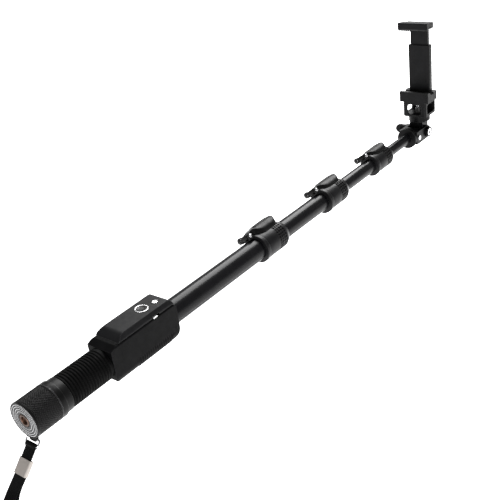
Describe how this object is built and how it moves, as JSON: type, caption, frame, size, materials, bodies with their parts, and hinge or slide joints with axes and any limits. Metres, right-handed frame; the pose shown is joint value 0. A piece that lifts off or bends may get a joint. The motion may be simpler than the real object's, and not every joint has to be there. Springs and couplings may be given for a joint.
{
  "type": "telescopic selfie stick",
  "caption": "Telescopic hand pole with a remote in the handle, flip locks, a tilting head with a sprung phone clamp and a wrist strap.",
  "frame": {"origin": "centre of the mouth of the tripod socket in the end of the handle", "axes": "+X along the pole from the handle to the head, +Z towards the side of the remote and the clamp, +Y towards the wing knob"},
  "size_m": [0.6526, 0.047, 0.2771],
  "materials": {
    "black_plastic": "satin moulded, fine grain",
    "knurled_cap": "black anodised, diamond knurl",
    "grip_rubber": "matt",
    "anodised_tube": "black anodised, drawn",
    "lock_plastic": "satin moulded",
    "lever_plastic": "satin moulded",
    "bright_metal": "turned",
    "disc_metal": "dark anodised, turned in rings",
    "brass": "machined",
    "soft_pad": "matt",
    "cover_plastic": "semi-gloss",
    "button_plastic": "satin",
    "button_metal": "polished",
    "board": "solder mask",
    "nylon": "plain",
    "spring_steel": "plain",
    "head_plastic": "satin moulded",
    "clamp_plastic": "satin moulded",
    "webbing": "woven nylon",
    "black_metal": "black oxide, knurled",
    "clasp_metal": "satin"
  },
  "bodies": {
    "handle": {"base_cap": "knurled_cap", "base_disc": "disc_metal", "tripod_bushing": "brass", "trim_ring": "disc_metal", "tube_plug": "nylon", "grip_sleeve": "grip_rubber", "remote_housing": "black_plastic", "remote_tray": "nylon", "circuit_board": "board", "coin_cell": "bright_metal", "remote_cover": "cover_plastic", "shutter_ring": "button_metal", "housing_screws": "bright_metal", "outer_tube": "anodised_tube", "lock_1_collar": "lock_plastic", "lock_1_pin": "black_metal", "lock_1_brake": "nylon"},
    "shutter_button": {"shutter_button": "button_plastic"},
    "pair_button": {"pair_button": "button_metal"},
    "power_switch": {"power_switch": "button_metal"},
    "lever_1": {"lock_1_lever": "lever_plastic"},
    "lever_2": {"lock_2_lever": "lever_plastic"},
    "lever_3": {"lock_3_lever": "lever_plastic"},
    "tube_2": {"second_tube": "anodised_tube", "second_tube_bush": "nylon", "lock_2_collar": "lock_plastic", "lock_2_pin": "black_metal", "lock_2_brake": "nylon"},
    "tube_3": {"third_tube": "anodised_tube", "third_tube_bush": "nylon", "lock_3_collar": "lock_plastic", "lock_3_pin": "black_metal", "lock_3_brake": "nylon"},
    "tube_4": {"inner_tube": "anodised_tube", "inner_tube_bush": "nylon", "head_socket": "head_plastic", "socket_screw": "bright_metal", "tilt_bolt": "bright_metal"},
    "wing_knob": {"wing_knob": "head_plastic"},
    "tilt_head": {"tilt_block": "head_plastic", "platform_pad": "soft_pad", "mount_screw": "bright_metal"},
    "lock_nut": {"lock_nut": "black_metal"},
    "clamp": {"clamp_base": "clamp_plastic", "lower_pad": "soft_pad", "back_channel": "clamp_plastic", "clamp_screws": "bright_metal", "jaw_springs": "spring_steel"},
    "upper_jaw": {"upper_jaw": "clamp_plastic", "upper_pad": "soft_pad", "jaw_tongue": "clamp_plastic"},
    "strap": {"strap_ring": "bright_metal", "strap_clasp": "clasp_metal", "strap_webbing": "webbing"}
  },
  "joints": [
    {"name": "shutter_press", "type": "slide", "parent": "handle", "child": "shutter_button", "axis": [0, 0, -1], "range_m": [0, 0.0006], "stiffness_N_per_m": 900, "springref_m": -0.0006},
    {"name": "pair_press", "type": "slide", "parent": "handle", "child": "pair_button", "axis": [0, 0, -1], "range_m": [0, 0.0006], "stiffness_N_per_m": 900, "springref_m": -0.0006},
    {"name": "power_slide", "type": "slide", "parent": "handle", "child": "power_switch", "axis": [1, 0, 0], "range_m": [0, 0.003]},
    {"name": "lever_1_open", "type": "hinge", "parent": "handle", "child": "lever_1", "pos_m": [0.2675, 0.00777, 0.01152], "axis": [0, -0.829, 0.5592], "range_deg": [0, 110]},
    {"name": "lever_2_open", "type": "hinge", "parent": "tube_2", "child": "lever_2", "pos_m": [0.3775, 0.00732, 0.01086], "axis": [0, -0.829, 0.5592], "range_deg": [0, 110]},
    {"name": "lever_3_open", "type": "hinge", "parent": "tube_3", "child": "lever_3", "pos_m": [0.4755, 0.00671, 0.00995], "axis": [0, -0.829, 0.5592], "range_deg": [0, 110]},
    {"name": "tube_2_slide", "type": "slide", "parent": "handle", "child": "tube_2", "axis": [1, 0, 0], "range_m": [-0.0635, 0.174]},
    {"name": "tube_3_slide", "type": "slide", "parent": "tube_2", "child": "tube_3", "axis": [1, 0, 0], "range_m": [-0.0515, 0.217]},
    {"name": "tube_4_slide", "type": "slide", "parent": "tube_3", "child": "tube_4", "axis": [1, 0, 0], "range_m": [-0.046, 0.249]},
    {"name": "head_tilt", "type": "hinge", "parent": "tube_4", "child": "tilt_head", "pos_m": [0.595, 0, 0], "axis": [0, 1, 0], "range_deg": [-20, 90]},
    {"name": "wing_turn", "type": "hinge", "parent": "tube_4", "child": "wing_knob", "pos_m": [0.595, 0.02, 0], "axis": [0, 1, 0], "continuous": true},
    {"name": "nut_turn", "type": "hinge", "parent": "tilt_head", "child": "lock_nut", "pos_m": [0.598, 0, 0.023], "axis": [0, 0, 1], "continuous": true},
    {"name": "clamp_swivel", "type": "hinge", "parent": "tilt_head", "child": "clamp", "pos_m": [0.598, 0, 0.02], "axis": [0, 0, 1], "continuous": true},
    {"name": "jaw_slide", "type": "slide", "parent": "clamp", "child": "upper_jaw", "axis": [0, 0, 1], "range_m": [-0.018, 0.0085], "deforming": ["jaw_springs"]},
    {"name": "strap_swing", "type": "hinge", "parent": "handle", "child": "strap", "pos_m": [0.0026, -0.0016, -0.0164], "axis": [0, 1, 0], "range_deg": [-75, 60]}
  ]
}
